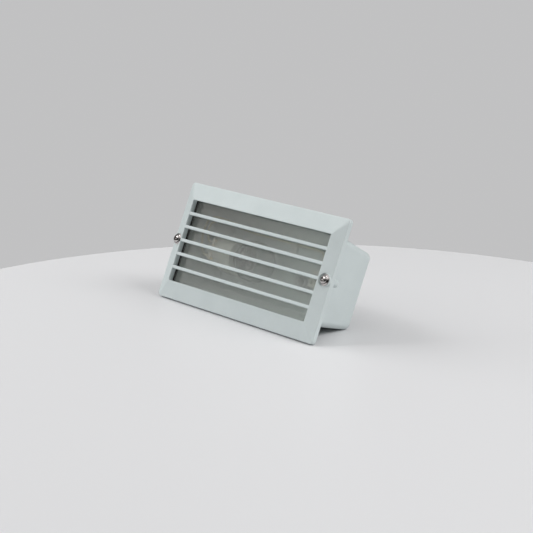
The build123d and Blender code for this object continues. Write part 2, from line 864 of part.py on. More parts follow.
with BuildPart() as terminal_block:
    with BuildSketch(across(block_back)):
        with Locations((block_x, 0)):
            RectangleRounded(block_length, 2 * block_half_height, block_edge)
    extrude(amount=block_depth)
    with BuildSketch(Plane.XY.offset(-tube_half - tube_room)):
        with Locations(*[(x, tube_y) for x in pole_xs]):
            Circle(tube_radius + tube_room)
    extrude(amount=2 * (tube_half + tube_room), mode=Mode.SUBTRACT)
    with BuildSketch():
        with Locations(*[(x, tube_y) for x in pole_xs]):
            Circle(tube_bore + tube_room)
    extrude(amount=block_half_height, both=True, mode=Mode.SUBTRACT)
    with BuildSketch(across(tube_y)):
        with Locations(*clamp_places):
            Circle(well_radius)
    extrude(amount=block_depth, mode=Mode.SUBTRACT)
    with BuildSketch(across(block_back)):
        with Locations(*[(x, 0) for x in gap_xs]):
            Circle(m3_radius + clearance_hole / 2)
    extrude(amount=block_depth, mode=Mode.SUBTRACT)
    with BuildSketch(across(block_front + m3_sink)):
        with Locations(*[(x, 0) for x in gap_xs]):
            Circle(m3_head_radius + clearance_hole)
    extrude(amount=m3_sink, mode=Mode.SUBTRACT)
terminal_block.part.label = "terminal_block"
export_step(terminal_block.part, "parts/terminal_block.step")

with BuildPart() as terminal_tubes:
    with BuildSketch(Plane.XY.offset(-tube_half)):
        with Locations(*[(x, tube_y) for x in pole_xs]):
            Circle(tube_radius)
            Circle(tube_bore, mode=Mode.SUBTRACT)
    extrude(amount=2 * tube_half)
    with BuildSketch(across(tube_y)):
        with Locations(*clamp_places):
            Circle(clamp_radius + thread_clearance)
    extrude(amount=tube_radius, mode=Mode.SUBTRACT)
terminal_tubes.part.label = "terminal_tubes"
export_step(terminal_tubes.part, "parts/terminal_tubes.step")

clamp_seat = block_front + clamp_sink + clamp_head_height
clamp_reach = tube_y - ferrule_radius - lead_fit - clamp_seat

with BuildPart() as terminal_screws:
    with Locations(*[facing_front(x, clamp_seat, z) for x, z in clamp_places]):
        add(slotted_screw(clamp_head, clamp_head_height, clamp_radius, clamp_reach))
terminal_screws.part.label = "terminal_screws"
export_step(terminal_screws.part, "parts/terminal_screws.step")

block_screw_reach = low_pad_face + m3_reach - block_front - m3_sink
m3_recess = m3_head_radius * 1.1

with BuildPart() as block_screws:
    with Locations(*[facing_front(x, block_front + m3_sink, 0) for x in gap_xs]):
        add(domed_screw(m3_head_radius, m3_head_height, m3_radius, block_screw_reach, m3_recess))
block_screws.part.label = "block_screws"
export_step(block_screws.part, "parts/block_screws.step")

# ---- Earth connection on its pad ----

with BuildPart() as earth_tag:
    with BuildSketch(across(pad_face)):
        with Locations((earth_x, earth_height)):
            Circle(tag_radius)
        with Locations((earth_x, earth_height + tag_radius / 2 + tag_barrel_length / 4)):
            Rectangle(2 * tag_barrel_radius, tag_radius + tag_barrel_length / 2)
    extrude(amount=tag_plate)
    with BuildSketch(Plane.XY.offset(tag_top - tag_barrel_length)):
        with Locations((earth_x, tag_y)):
            Circle(tag_barrel_radius)
    extrude(amount=tag_barrel_length)
    with BuildSketch(Plane.XY.offset(tag_top)):
        with Locations((earth_x, tag_y)):
            Circle(lead_radius + lead_fit)
    extrude(amount=-tag_barrel_length * 0.8, mode=Mode.SUBTRACT)
    with BuildSketch(across(pad_face)):
        with Locations((earth_x, earth_height)):
            Circle(earth_screw_radius + clearance_hole / 2)
    extrude(amount=tag_plate, mode=Mode.SUBTRACT)
earth_tag.part.label = "earth_tag"
export_step(earth_tag.part, "parts/earth_tag.step")

with BuildPart() as earth_washer:
    with BuildSketch(across(tag_face)):
        with Locations((earth_x, earth_height)):
            Circle(earth_washer_radius)
            Circle(earth_screw_radius + clearance_hole / 2, mode=Mode.SUBTRACT)
    extrude(amount=earth_washer_plate)
earth_washer.part.label = "earth_washer"
export_step(earth_washer.part, "parts/earth_washer.step")

earth_seat = tag_face - earth_washer_plate
earth_reach = blind_end - earth_seat - clearance_hole

with BuildPart() as earth_screw:
    with Locations(facing_front(earth_x, earth_seat, earth_height)):
        add(slotted_screw(earth_head_radius, earth_head_height, earth_screw_radius, earth_reach))
earth_screw.part.label = "earth_screw"
export_step(earth_screw.part, "parts/earth_screw.step")

# ---- Leads: slack behind the holder, then along the top of the back wall to the block ----

slack_y = pole_y - 4.4
live_points = [
    (lead_in_x, pole_y, -pole_step),
    (holder_x - 9.5, pole_y, -pole_step),
    (holder_x - 16.2, slack_y, 12.0),
    (holder_x - 12.0, slack_y, live_z + 2.0),
    (holder_x - 1.0, lamp_y + 4.0, live_z + 2.6),
    (holder_x + 15.0, lead_y, live_z),
    (pole_xs[1] - 13.0, lead_y, live_z),
    (pole_xs[1], tube_y, block_lead_z + 17.0),
    (pole_xs[1], tube_y, block_lead_z),
]
neutral_points = [
    (lead_in_x, pole_y, pole_step),
    (holder_x - 7.0, pole_y, pole_step),
    (holder_x - 11.5, pole_y - 3.0, 23.0),
    (holder_x - 5.0, pole_y, live_z - 1.0),
    (holder_x + 3.0, lamp_y + 6.0, live_z - 0.5),
    (holder_x + 17.0, lead_y, neutral_z),
    (pole_xs[0] - 13.0, lead_y, neutral_z),
    (pole_xs[0], tube_y, block_lead_z + 14.0),
    (pole_xs[0], tube_y, block_lead_z),
]
earth_points = [
    (earth_x, tag_y, tag_top - tag_barrel_length * 0.8),
    (earth_x, tag_y, tag_top + 5.0),
    (pole_xs[2], tube_y, tag_top + 4.5),
    (pole_xs[2], tube_y, block_lead_z),
]

with BuildPart() as live_lead:
    add(lead_tube("live_lead", live_points))
live_lead.part.label = "live_lead"
export_step(live_lead.part, "parts/live_lead.step")

with BuildPart() as neutral_lead:
    add(lead_tube("neutral_lead", neutral_points))
neutral_lead.part.label = "neutral_lead"
export_step(neutral_lead.part, "parts/neutral_lead.step")

with BuildPart() as earth_lead:
    add(lead_tube("earth_lead", earth_points))
earth_lead.part.label = "earth_lead"
export_step(earth_lead.part, "parts/earth_lead.step")

with BuildPart() as lead_ferrules:
    with BuildSketch(Plane.YZ.offset(lead_in_x)):
        with Locations(*pole_places):
            Circle(ferrule_radius)
    extrude(amount=ferrule_length)
    with BuildSketch(Plane.XY.offset(block_lead_z)):
        with Locations(*[(x, tube_y) for x in pole_xs]):
            Circle(ferrule_radius)
    extrude(amount=-ferrule_length)
lead_ferrules.part.label = "lead_ferrules"
export_step(lead_ferrules.part, "parts/lead_ferrules.step")

# ---- Clip that holds the two leads on the back wall ----

clip_bottom = clip_z - clip_pad_radius
clip_inner = live_z + lead_radius + lead_wall_gap
clip_top = clip_inner + clip_side

with BuildPart() as lead_clip:
    with BuildSketch(Plane.YZ) as clip_section:
        with BuildLine():
            Polyline(
                (clip_face, clip_bottom),
                (clip_face, clip_top),
                (inner_back, clip_top),
                (inner_back, clip_inner),
                (low_pad_face, clip_inner),
                (low_pad_face, clip_bottom),
                (clip_face, clip_bottom),
            )
        make_face()
    extrude(amount=clip_half_width, both=True)
    with BuildSketch(across(low_pad_face)):
        with Locations((0, clip_z)):
            Circle(m3_radius + clearance_hole / 2)
    extrude(amount=clip_plate, mode=Mode.SUBTRACT)
lead_clip.part.label = "lead_clip"
export_step(lead_clip.part, "parts/lead_clip.step")

with BuildPart() as lead_clip_screw:
    with Locations(facing_front(0, clip_face, clip_z)):
        add(domed_screw(m3_head_radius, m3_head_height, m3_radius, clip_plate + m3_reach, m3_recess))
lead_clip_screw.part.label = "lead_clip_screw"
export_step(lead_clip_screw.part, "parts/lead_clip_screw.step")

# ---- Cable gland ----

gland_inner_end = inner_back - gland_inner_length

with BuildPart() as gland_body:
    with BuildSketch(across(gland_washer_y)):
        with Locations((gland_x, gland_z)):
            Circle(gland_thread_radius)
    extrude(amount=gland_washer_y - gland_inner_end)
    with BuildSketch(across(gland_flange_y)):
        with Locations((gland_x, gland_z)):
            RegularPolygon(gland_hex_radius, 6)
    extrude(amount=gland_flange)
    with BuildSketch(across(gland_neck_y)):
        with Locations((gland_x, gland_z)):
            Circle(gland_neck_radius)
    extrude(amount=gland_neck_length)
    with BuildSketch(across(gland_neck_y)):
        with Locations((gland_x, gland_z)):
            Circle(gland_bore)
    extrude(amount=gland_neck_y - gland_inner_end, mode=Mode.SUBTRACT)
    with BuildSketch(across(gland_neck_y)):
        with Locations((gland_x, gland_z)):
            Circle(insert_radius + glass_clearance)
    extrude(amount=gland_neck_length, mode=Mode.SUBTRACT)
gland_body.part.label = "gland_body"
export_step(gland_body.part, "parts/gland_body.step")

with BuildPart() as gland_washer:
    with BuildSketch(across(gland_washer_y)):
        with Locations((gland_x, gland_z)):
            Circle(gland_hex_radius)
            Circle(gland_thread_radius + gland_hole_clearance, mode=Mode.SUBTRACT)
    extrude(amount=gland_washer_plate)
gland_washer.part.label = "gland_washer"
export_step(gland_washer.part, "parts/gland_washer.step")

with BuildPart() as gland_locknut:
    with BuildSketch(across(inner_back)):
        with Locations((gland_x, gland_z)):
            RegularPolygon(locknut_radius, 6)
            Circle(gland_thread_radius + thread_clearance, mode=Mode.SUBTRACT)
    extrude(amount=locknut_thickness)
gland_locknut.part.label = "gland_locknut"
export_step(gland_locknut.part, "parts/gland_locknut.step")

with BuildPart() as gland_seal:
    with BuildSketch(across(thrust_y)):
        with Locations((gland_x, gland_z)):
            Circle(insert_radius)
            Circle(insert_bore, mode=Mode.SUBTRACT)
    extrude(amount=insert_length)
gland_seal.part.label = "gland_seal"
export_step(gland_seal.part, "parts/gland_seal.step")

with BuildPart() as gland_thrust_ring:
    with BuildSketch(across(nut_inner)):
        with Locations((gland_x, gland_z)):
            Circle(insert_radius)
            Circle(insert_bore + clearance_hole, mode=Mode.SUBTRACT)
    extrude(amount=thrust_plate)
gland_thrust_ring.part.label = "gland_thrust_ring"
export_step(gland_thrust_ring.part, "parts/gland_thrust_ring.step")

with BuildPart() as gland_nut:
    with BuildSketch(across(nut_end)):
        with Locations((gland_x, gland_z)):
            Circle(gland_hex_radius * cos(pi / 6))
    extrude(amount=nut_length)
    fillet(gland_nut.edges().filter_by_position(Axis.Y, nut_end, nut_end), nut_length - nut_hex_length - 2)
    with BuildSketch(across(nut_y + nut_hex_length)):
        with Locations((gland_x, gland_z)):
            RegularPolygon(gland_hex_radius, 6)
    extrude(amount=nut_hex_length)
    with BuildSketch(across(nut_end)):
        with Locations((gland_x, gland_z)):
            Circle(nut_mouth_radius)
    extrude(amount=nut_length, mode=Mode.SUBTRACT)
    with BuildSketch(across(nut_inner)):
        with Locations((gland_x, gland_z)):
            Circle(gland_neck_radius + running_clearance)
    extrude(amount=nut_inner - nut_y, mode=Mode.SUBTRACT)
gland_nut.part.label = "gland_nut"
export_step(gland_nut.part, "parts/gland_nut.step")
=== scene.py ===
from math import atan, cos, pi, radians, sin

import bmesh
import bpy
import numpy as np
from mathutils import Matrix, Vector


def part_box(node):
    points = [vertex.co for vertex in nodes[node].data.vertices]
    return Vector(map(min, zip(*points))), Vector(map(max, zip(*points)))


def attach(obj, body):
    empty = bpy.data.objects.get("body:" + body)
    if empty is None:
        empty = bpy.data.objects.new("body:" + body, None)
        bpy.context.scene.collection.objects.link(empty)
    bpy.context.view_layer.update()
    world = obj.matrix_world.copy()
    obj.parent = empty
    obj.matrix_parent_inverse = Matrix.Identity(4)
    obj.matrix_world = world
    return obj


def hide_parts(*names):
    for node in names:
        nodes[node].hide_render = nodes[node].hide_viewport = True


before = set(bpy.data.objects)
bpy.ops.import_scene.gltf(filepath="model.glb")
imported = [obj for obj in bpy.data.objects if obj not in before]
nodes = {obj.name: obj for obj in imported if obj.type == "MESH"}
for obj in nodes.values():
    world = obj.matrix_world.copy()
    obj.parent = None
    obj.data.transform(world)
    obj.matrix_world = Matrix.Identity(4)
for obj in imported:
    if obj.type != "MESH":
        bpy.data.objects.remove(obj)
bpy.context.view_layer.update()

# ---- Camera ----
# Seen from the front right and a little above the table. The light keeps its own upright frame,
# in which the camera is low and rolled, because the real light leans back on the table.

camera = bpy.data.objects.new("camera", bpy.data.cameras.new("camera"))
camera.data.sensor_width = 36.0
camera.data.lens = 108.07
camera.location = (1.22764, -1.13883, -0.04771)
camera.rotation_euler = (radians(91.634), radians(-17.447), radians(46.109))
bpy.context.scene.collection.objects.link(camera)
bpy.context.scene.camera = camera
bpy.context.scene.view_settings.view_transform = "Standard"

# ---- Table and studio ----
# A round white table. The light stands on the lower rear corner of its cover and on the rounded
# lower edge of its back box, so the table top is the plane through both.


class Value:
    """One output in a material's nodes. Arithmetic on it adds Math nodes."""

    def __init__(self, finish, socket):
        self.finish = finish
        self.socket = socket

    def math(self, operation, *others):
        inputs = {i: other for i, other in enumerate((self,) + others)}
        return self.finish.node("ShaderNodeMath", {"operation": operation}, inputs)

    def __add__(self, other):
        return self.math("ADD", other)

    def __mul__(self, other):
        return self.math("MULTIPLY", other)

    def __rsub__(self, other):
        return (self * -1.0) + other

    __radd__ = __add__
    __rmul__ = __mul__


class Finish:
    """A material or world and its nodes; a material's main shader is a Principled one."""

    def __init__(self, name, colour=None, roughness=0.5, metallic=0.0):
        self.owner = bpy.data.materials.new(name) if colour else bpy.data.worlds.new(name)
        self.owner.use_nodes = True
        self.tree = self.owner.node_tree
        if colour:
            self.shader = self.tree.nodes["Principled BSDF"]
            self.set("Base Color", colour)
            self.set("Roughness", roughness)
            self.set("Metallic", metallic)

    def feed(self, socket, value):
        """Links a Value to a socket, or sets the socket's own number or colour."""
        if isinstance(value, Value):
            self.tree.links.new(value.socket, socket)
        elif isinstance(value, tuple) and len(value) == 3 and socket.type == "RGBA":
            socket.default_value = (*value, 1.0)
        else:
            socket.default_value = value

    def node(self, kind, settings=None, inputs=None, output=0):
        """Any node, by its type, its settings and the values or links of its sockets."""
        made = self.tree.nodes.new(kind)
        for name, value in (settings or {}).items():
            setattr(made, name, value)
        for name, value in (inputs or {}).items():
            self.feed(made.inputs[name], value)
        return Value(self, made.outputs[output])

    def set(self, name, value):
        """A socket of the main shader."""
        self.feed(self.shader.inputs[name], value)

    def place(self):
        """Object coordinates."""
        return self.node("ShaderNodeTexCoord", output="Object")

    def noise(self, scale, detail=2.0, roughness=0.5):
        """Cloudy pattern from 0 to 1, about 0.5, with that many cells to the metre."""
        inputs = {"Vector": self.place(), "Scale": scale, "Detail": detail, "Roughness": roughness}
        return self.node("ShaderNodeTexNoise", None, inputs)

    def ramp(self, value, low, high, start=0.0, end=1.0, kind="SMOOTHSTEP"):
        """The value's range from low to high, eased and carried to start and end."""
        inputs = {0: value, 1: low, 2: high, 3: start, 4: end}
        return self.node("ShaderNodeMapRange", {"interpolation_type": kind}, inputs)

    def toward(self, way, direction):
        """How far a direction agrees with another, from -1 to 1."""
        inputs = {0: way, 1: tuple(float(c) for c in direction / np.linalg.norm(direction))}
        return self.node("ShaderNodeVectorMath", {"operation": "DOT_PRODUCT"}, inputs, "Value")

    def mix(self, share, first, second):
        """Colour that goes from the first to the second as the share goes from 0 to 1."""
        return self.node("ShaderNodeMix", {"data_type": "RGBA"}, {0: share, 6: first, 7: second}, 2)

    def clouds(self, scale, first, second, detail=3.0, low=0.3, high=0.7):
        """Colour that drifts between two tones over the piece."""
        return self.mix(self.ramp(self.noise(scale, detail, 0.6), low, high), first, second)

    def uneven_gloss(self, scale, low, high, detail=3.0, roughness=0.6):
        """Roughness that drifts between two values over the piece."""
        pattern = self.noise(scale, detail, roughness)
        self.set("Roughness", self.ramp(pattern, 0.3, 0.7, low, high))

    def relief(self, height, depth, normal=None):
        """Fine relief over a height pattern, or over plain noise of that scale; depth in metres."""
        pattern = height if isinstance(height, Value) else self.noise(height)
        inputs = {"Height": pattern, "Distance": depth, "Strength": 1.0}
        if normal:
            inputs["Normal"] = normal
        self.set("Normal", self.node("ShaderNodeBump", None, inputs))

    def soft_edges(self, radius):
        """Surface direction with the sharp edges of a casting rounded off."""
        return self.node("ShaderNodeBevel", {"samples": 4}, {"Radius": radius})

    def edge_share(self, softened):
        """1 on sharp edges and 0 on flats: how far the rounded direction leaves the true one."""
        true_way = self.node("ShaderNodeNewGeometry", output="True Normal")
        inputs = {0: softened, 1: true_way}
        agree = self.node("ShaderNodeVectorMath", {"operation": "DOT_PRODUCT"}, inputs, "Value")
        flat, sharp = 0.01, 0.14
        return self.ramp(1.0 - agree, flat, sharp)

    def shadowless(self, tint):
        """Lets light through a glass straight, so that what is behind it is lit."""
        light_path = self.node("ShaderNodeLightPath", output="Is Shadow Ray")
        clear = self.node("ShaderNodeBsdfTransparent", None, {"Color": tint})
        surface = Value(self, self.shader.outputs[0])
        mixed = self.node("ShaderNodeMixShader", None, {0: light_path, 1: surface, 2: clear})
        self.feed(self.tree.nodes["Material Output"].inputs["Surface"], mixed)

    def dress(self, *pieces):
        """Gives the material to every slot of the pieces, or to nodes by name."""
        for piece in pieces:
            mesh = (nodes[piece] if isinstance(piece, str) else piece).data
            if not mesh.materials:
                mesh.materials.append(self.owner)
            for slot in range(len(mesh.materials)):
                mesh.materials[slot] = self.owner


def vertices_of(node):
    """Places of a CAD node's vertices, one row each."""
    mesh = nodes[node].data
    places = np.zeros(len(mesh.vertices) * 3)
    mesh.vertices.foreach_get("co", places)
    return places.reshape(-1, 3)


def mesh_piece(name, points, faces):
    """Object at the origin from points and faces, with doubles merged and its faces outwards."""
    mesh = bpy.data.meshes.new(name)
    mesh.from_pydata(np.asarray(points).tolist(), [], np.asarray(faces).tolist())
    work = bmesh.new()
    work.from_mesh(mesh)
    bmesh.ops.remove_doubles(work, verts=work.verts, dist=1e-7)
    bmesh.ops.recalc_face_normals(work, faces=work.faces)
    work.to_mesh(mesh)
    work.free()
    mesh.polygons.foreach_set("use_smooth", np.full(len(mesh.polygons), True))
    piece = bpy.data.objects.new(name, mesh)
    bpy.context.scene.collection.objects.link(piece)
    return piece


def grid_faces(rows, columns, closed=False):
    """Quads that join a grid of points whose columns go round; closed joins the last row too."""
    bands = rows if closed else rows - 1
    row, column = np.meshgrid(np.arange(bands), np.arange(columns), indexing="ij")
    after, beside = (row + 1) % rows, (column + 1) % columns
    this_row, next_row = row * columns, after * columns
    corners = (this_row + column, this_row + beside, next_row + beside, next_row + column)
    return np.stack(corners, axis=-1).reshape(-1, 4)


def lathe(name, origin, along, profile, columns=96, closed=False, thread=None, dent=None):
    """Surface turned round an axis: at each height of the profile a circle of its radius.

    A thread is (pitch, depth, low, high): between those heights the radius loses
    depth * (1 - cos(2 pi * height / pitch - angle)) / 2, a right-handed helix that fades
    out over half a pitch at both ends. A dent is a function of x, y and height that gives
    how far a point is pushed back along the axis.
    """
    along = np.array(along, float)
    side = np.cross(along, (0.0, 0.0, 1.0)) if abs(along[2]) < 0.9 else np.array((1.0, 0.0, 0.0))
    across = np.cross(along, side)
    height, radius = np.array(profile, float).T[:, :, None]
    angle = np.linspace(0, 2 * pi, columns, endpoint=False)[None, :]
    radius = np.repeat(radius, columns, axis=1)
    if thread:
        pitch, depth, low, high = thread
        fade_in = np.clip((height - low) / (pitch / 2), 0, 1)
        fade_out = np.clip((high - height) / (pitch / 2), 0, 1)
        groove = (1 - np.cos(2 * pi * height / pitch - angle)) / 2
        radius = radius - fade_in * fade_out * depth * groove
    x, y = radius * np.cos(angle), radius * np.sin(angle)
    height = height + 0 * angle
    if dent:
        height = height - dent(x, y, height)
    points = np.array(origin) + height[..., None] * along
    points = points + x[..., None] * side + y[..., None] * across
    return mesh_piece(name, points.reshape(-1, 3), grid_faces(len(profile), columns, closed))


rim_depth = 0.0
rim_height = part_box("front_cover")[0].z
half_box_depth = 0.03
box_places = vertices_of("back_box")
behind = box_places[box_places[:, 1] > half_box_depth]
lean = atan(np.min((behind[:, 2] - rim_height) / (behind[:, 1] - rim_depth)))
table_up = np.array((0.0, -sin(lean), cos(lean)))
table_back = np.array((0.0, cos(lean), sin(lean)))
table_right, table_forward = 0.156, 0.037
table_centre = np.array((table_right, rim_depth, rim_height)) - table_forward * table_back
table_radius, table_thickness, table_edge = 0.502, 0.03, 0.008
flat_radius = table_radius - table_edge
table_flat = [(0, table_radius * share) for share in (0, 0.3, 0.6, 0.9, 0.97)]
table_rim = [
    (table_edge * (cos(turn) - 1), flat_radius + table_edge * sin(turn))
    for turn in np.linspace(0, pi / 2, 9)
]
table_side = [(-depth, table_radius) for depth in (0.009, 0.012, 0.022, table_thickness)]
table_profile = [
    *table_flat,
    (0, flat_radius - 0.001),
    *table_rim,
    *table_side,
    (-table_thickness, 0),
]
table = lathe("table", table_centre, table_up, table_profile, columns=192)
white_top = Finish("white_table", (0.725, 0.725, 0.735), 0.45)
white_top.set("Specular IOR Level", 0.3)
white_top.dress(table)

# The room has three faces: dim walls and a pale ceiling that light the piece, a darker one with
# one window that metal mirrors, and the flat grey wall that the camera and the glass see.
white = (1.0, 1.0, 1.0)
horizon_light, ceiling_light = 0.18, 0.74
mirrored_wall, mirrored_ceiling, mirrored_window = 0.03, 0.62, 2.4
window_way = np.array((-0.31, -0.85, 0.42))
wall_grey = (0.535, 0.535, 0.54, 1.0)

room = Finish("pale_room")
way = room.node("ShaderNodeTexCoord", output="Generated")
height = room.toward(way, table_up)
sky = room.ramp(height, 0.0, 1.0, horizon_light, ceiling_light, "LINEAR")
daylight = room.node("ShaderNodeBackground", None, {"Color": white, "Strength": sky})
ceiling = room.ramp(height, 0.35, 0.90, mirrored_wall, mirrored_ceiling)
window = room.ramp(room.toward(way, window_way), 0.94, 0.98, 0.0, mirrored_window)
mirrored = room.node("ShaderNodeBackground", None, {"Color": white, "Strength": ceiling + window})
backdrop = room.tree.nodes["Background"]
backdrop.inputs["Color"].default_value = wall_grey
rays = room.tree.nodes.new("ShaderNodeLightPath")
camera_ray, glossy_ray, glass_ray = (
    Value(room, rays.outputs[name])
    for name in ("Is Camera Ray", "Is Glossy Ray", "Is Transmission Ray")
)
shine = room.node("ShaderNodeMixShader", None, {0: glossy_ray, 1: daylight, 2: mirrored})
plain = Value(room, backdrop.outputs[0])
seen = (camera_ray + glass_ray).math("MINIMUM", 1.0)
both = room.node("ShaderNodeMixShader", None, {0: seen, 1: shine, 2: plain})
room.feed(room.tree.nodes["World Output"].inputs["Surface"], both)
bpy.context.scene.world = room.owner


def softbox(name, direction, distance, size, level, in_gloss):
    """Square area lamp that faces the origin and lights a facing surface to that level.

    Only a lamp with in_gloss shows in reflections.
    """
    lamp = bpy.data.lights.new(name, "AREA")
    lamp.size = size
    lamp.energy = level * pi**2 * (distance**2 + size**2 / pi)
    away = np.array(direction, float) / np.linalg.norm(direction)
    box = bpy.data.objects.new(name, lamp)
    box.location = away * distance
    x_axis = np.cross((0.0, 0.0, 1.0), away)
    x_axis /= np.linalg.norm(x_axis)
    turn = np.column_stack([x_axis, np.cross(away, x_axis), away])
    box.rotation_euler = Matrix(turn.tolist()).to_euler()
    box.visible_glossy = in_gloss
    bpy.context.scene.collection.objects.link(box)


softbox("window_left", (-0.78, -0.54, 0.32), 2.0, 1.8, 0.45, False)
softbox("window_front", (-0.44, -0.70, 0.56), 2.2, 0.35, 0.06, True)
softbox("window_right", (0.66, 0.02, 0.75), 2.2, 1.1, 0.40, True)

# ---- Cover and back box ----
# Two aluminium die castings, the louvred cover and the deep box behind it. Both are powder coated
# in a pale greenish grey, a satin film with a fine orange peel. Their edges are painted lighter,
# a painted highlight where the rounded edges would catch the light.

casting_round, edge_highlight_share, edge_highlight_colour = 0.0007, 0.55, (0.78, 0.84, 0.845)
coat = Finish("cast_paint", (0.60, 0.655, 0.65), 0.42)
rounded = coat.soft_edges(casting_round)
film = coat.clouds(28, (0.63, 0.695, 0.695), (0.665, 0.73, 0.73), detail=4)
# Painted highlight: the colour turns lighter along the sharp edges.
coat.set("Base Color", coat.mix(coat.edge_share(rounded) * edge_highlight_share, film, edge_highlight_colour))
coat.uneven_gloss(1600, 0.36, 0.48, detail=2, roughness=0.5)
coat.relief(900, 0.00003, rounded)
coat.dress("front_cover", "back_box")

# ---- Glass and gasket ----
# A 3 mm pane of lightly etched glass in a black U-section rubber gasket, clamped between the
# cover and the mouth of the box. It blurs what is behind it. Its colour is painted darker towards
# the upper left, as painted shade.

painted_light_way, shaded_place, lit_place = np.array((1.0, 0.0, -1.5)), -0.080, 0.012
pane = Finish("etched_glass", (0.68, 0.73, 0.70), 0.08)
pane.set("Transmission Weight", 0.86)
across_pane = pane.toward(pane.place(), painted_light_way)
painted_light_share = pane.ramp(across_pane, shaded_place, lit_place, kind="LINEAR")
# Painted shade: the pane's colour darkens towards the upper left.
pane.set("Base Color", pane.mix(painted_light_share, (0.590, 0.592, 0.565), (0.770, 0.790, 0.760)))
pane.set("IOR", 1.5)
pane.uneven_gloss(14, 0.07, 0.10, detail=2, roughness=0.5)
pane.relief(1200, 0.000004)
pane.shadowless((0.63, 0.67, 0.65))
pane.dress("glass_pane")

rubber = Finish("black_rubber", (0.018, 0.018, 0.019), 0.65)
rubber.uneven_gloss(300, 0.55, 0.75)
rubber.relief(2500, 0.00001)
rubber.dress("glass_gasket", "screw_seals", "gland_washer", "gland_seal")

# ---- Cover screws and their dished washers ----
# Domed stainless cross-recess screws, each in a dished washer in a round seat of the cover. The
# thread is cut down the shank that holds the cover to the box.

steel = Finish("bright_steel", (0.54, 0.51, 0.50), 0.2, 1.0)
steel.uneven_gloss(400, 0.10, 0.22)
steel.relief(1800, 0.000004)

# The head's underside stays 0.03 mm off its washer.
head_radius, head_height, head_edge, head_off, head_round = 0.0042, 0.0026, 0.00104, 0.00003, 0.0001
shank_radius, shank_tip, plain_shank = 0.0025, 0.0005, 0.004
shank_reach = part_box("cover_screw_left")[1].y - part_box("screw_washer_left")[0].y
m5_pitch, m5_depth, m5_rows = 0.0008, 0.00045, 9
slot_half_width, slot_half_length, slot_depth = 0.00062, 0.0024, 0.0017


def smooth_step(value, low, high):
    """0 below low, 1 above high, eased between."""
    share = np.clip((value - low) / (high - low), 0, 1)
    return share * share * (3 - 2 * share)


def cross_recess(x, y, height):
    """Two crossed slots with eased walls, deepest at the centre and shallow at their ends."""
    arms = []
    for off, along in ((np.abs(x), np.abs(y)), (np.abs(y), np.abs(x))):
        wall = smooth_step(-off, -slot_half_width * 1.25, -slot_half_width * 0.75)
        arms.append(wall * smooth_step(-along, -slot_half_length, -slot_half_length * 0.8))
    taper = 1 - 0.5 * np.hypot(x, y) / slot_half_length
    return slot_depth * np.maximum(*arms) * taper * (height > head_edge)


dome_rise = head_height - head_edge
dome_radius = (head_radius**2 + dome_rise**2) / (2 * dome_rise)
dome = [
    (head_height - dome_radius + np.sqrt(dome_radius**2 - r**2), r)
    for r in np.linspace(head_radius * 0.985, 0, 56)
]
shank_rows = np.arange(-shank_reach + 0.0006, -0.0002, m5_pitch / m5_rows)
screw_profile = [
    (-shank_reach, 0),
    (-shank_reach, shank_radius - shank_tip),
    *[(row, shank_radius) for row in shank_rows],
    (-head_round, shank_radius),
    (head_off, shank_radius + head_round),
    (head_off, head_radius - head_round),
    (head_round, head_radius),
    (head_edge * 0.7, head_radius),
    (head_edge, head_radius * 0.996),
    *dome,
]

cup_radius, cup_height, cup_hole, cup_shell = 0.0061, 0.0015, 0.0028, 0.0008
cup_lip, cup_lip_flat, cup_flare = 0.0005, 0.0003, 0.0017
cup_rise = [
    (cup_lip + (cup_height - cup_lip) * sin(t * pi / 2), cup_radius - 0.0002 - cup_flare * t)
    for t in np.linspace(0, 1, 13)
]
cup_profile = [
    (0.0, cup_radius),
    (cup_lip_flat, cup_radius),
    (cup_lip, cup_radius - 0.0001),
    *cup_rise,
    (cup_height, cup_hole),
    (cup_height - cup_shell, cup_hole),
    (cup_height - cup_shell, head_radius - 0.0005),
    (0.0, cup_radius - cup_shell),
]

for side in ("left", "right"):
    low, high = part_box(f"screw_washer_{side}")
    seat = ((low.x + high.x) / 2, high.y, (low.z + high.z) / 2)
    washer = lathe(f"dished_washer_{side}", seat, (0, -1, 0), cup_profile, closed=True)
    steel.dress(washer)
    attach(washer, f"washer_{side}")
    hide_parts(f"screw_washer_{side}")

    under_head = (seat[0], low.y, seat[2])
    thread = (m5_pitch, m5_depth, -shank_reach + 0.0002, -plain_shank)
    screw = lathe(
        f"domed_screw_{side}",
        under_head,
        (0, -1, 0),
        screw_profile,
        thread=thread,
        dent=cross_recess,
    )
    steel.dress(screw)
    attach(screw, f"screw_{side}")
    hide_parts(f"cover_screw_{side}")

# ---- Lampholder bracket and small fixings ----
# The bracket is bent from zinc-plated steel. Its screws, and those of the block, clip and
# terminals, are plated too, with the faint rainbow of a passivated finish.

zinc = Finish("zinc_plate", (0.55, 0.55, 0.54), 0.35, 1.0)
zinc.set("Base Color", zinc.clouds(45, (0.52, 0.53, 0.55), (0.60, 0.57, 0.50), 3, 0.35, 0.65))
zinc.uneven_gloss(220, 0.28, 0.45)
zinc.relief(1500, 0.000008)
zinc.dress("holder_bracket", "bracket_screws", "bracket_washers", "holder_fixing_screws")
zinc.dress("block_screws", "lead_clip_screw", "terminal_screws", "holder_terminal_screws")
zinc.dress("earth_washer", "gland_thrust_ring")

# ---- Lampholder ----
# A turned porcelain body, glazed off-white, with a rolled nickel-plated screw shell inside, a
# brass centre contact and two brass terminal blocks in pockets at its foot.

porcelain = Finish("porcelain", (0.80, 0.78, 0.72), 0.14)
porcelain.set("Coat Weight", 0.6)
glaze = porcelain.clouds(60, (0.77, 0.75, 0.69), (0.83, 0.81, 0.76), detail=4)
specks = porcelain.ramp(porcelain.noise(900, 1, 0.4), 0.70, 0.76)
porcelain.set("Base Color", porcelain.mix(specks, glaze, (0.66, 0.61, 0.53)))
porcelain.relief(70, 0.00008, porcelain.soft_edges(0.0006))
porcelain.dress("holder_body")

